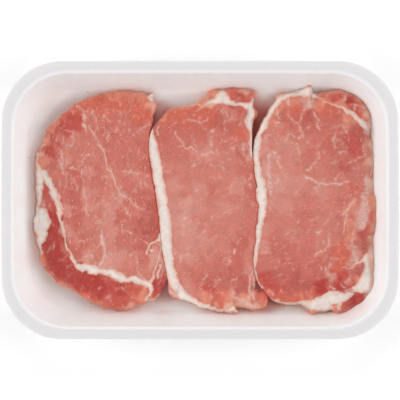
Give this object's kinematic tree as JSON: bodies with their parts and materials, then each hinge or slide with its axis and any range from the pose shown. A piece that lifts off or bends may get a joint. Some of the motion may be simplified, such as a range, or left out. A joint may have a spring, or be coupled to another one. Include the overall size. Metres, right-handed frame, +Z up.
{
  "type": "meat tray pack",
  "caption": "Open white foam tray with rounded corners and a flat rim, holding raw boneless pork loin chops laid side by side in one row.",
  "frame": {"origin": "middle of the tray's flat underside, on the table", "axes": "+X along the tray's long side, +Y along its short side towards the chops' head ends, +Z up out of the mouth"},
  "size_m": [0.21, 0.147, 0.025],
  "materials": {
    "foam": "white extruded polystyrene foam sheet with a smooth satin skin",
    "pork_left": "moist raw pork, pink lean with marbling, a dark red cap muscle and creamy fat",
    "pork_middle": "moist raw pork, pale pink lean with a creamy fat strip along one side",
    "pork_right": "moist raw pork, pink lean with creamy fat at the side, head and foot"
  },
  "bodies": {
    "root": {"tray": "foam", "chop_left": "pork_left", "chop_middle": "pork_middle", "chop_right": "pork_right"}
  },
  "joints": []
}
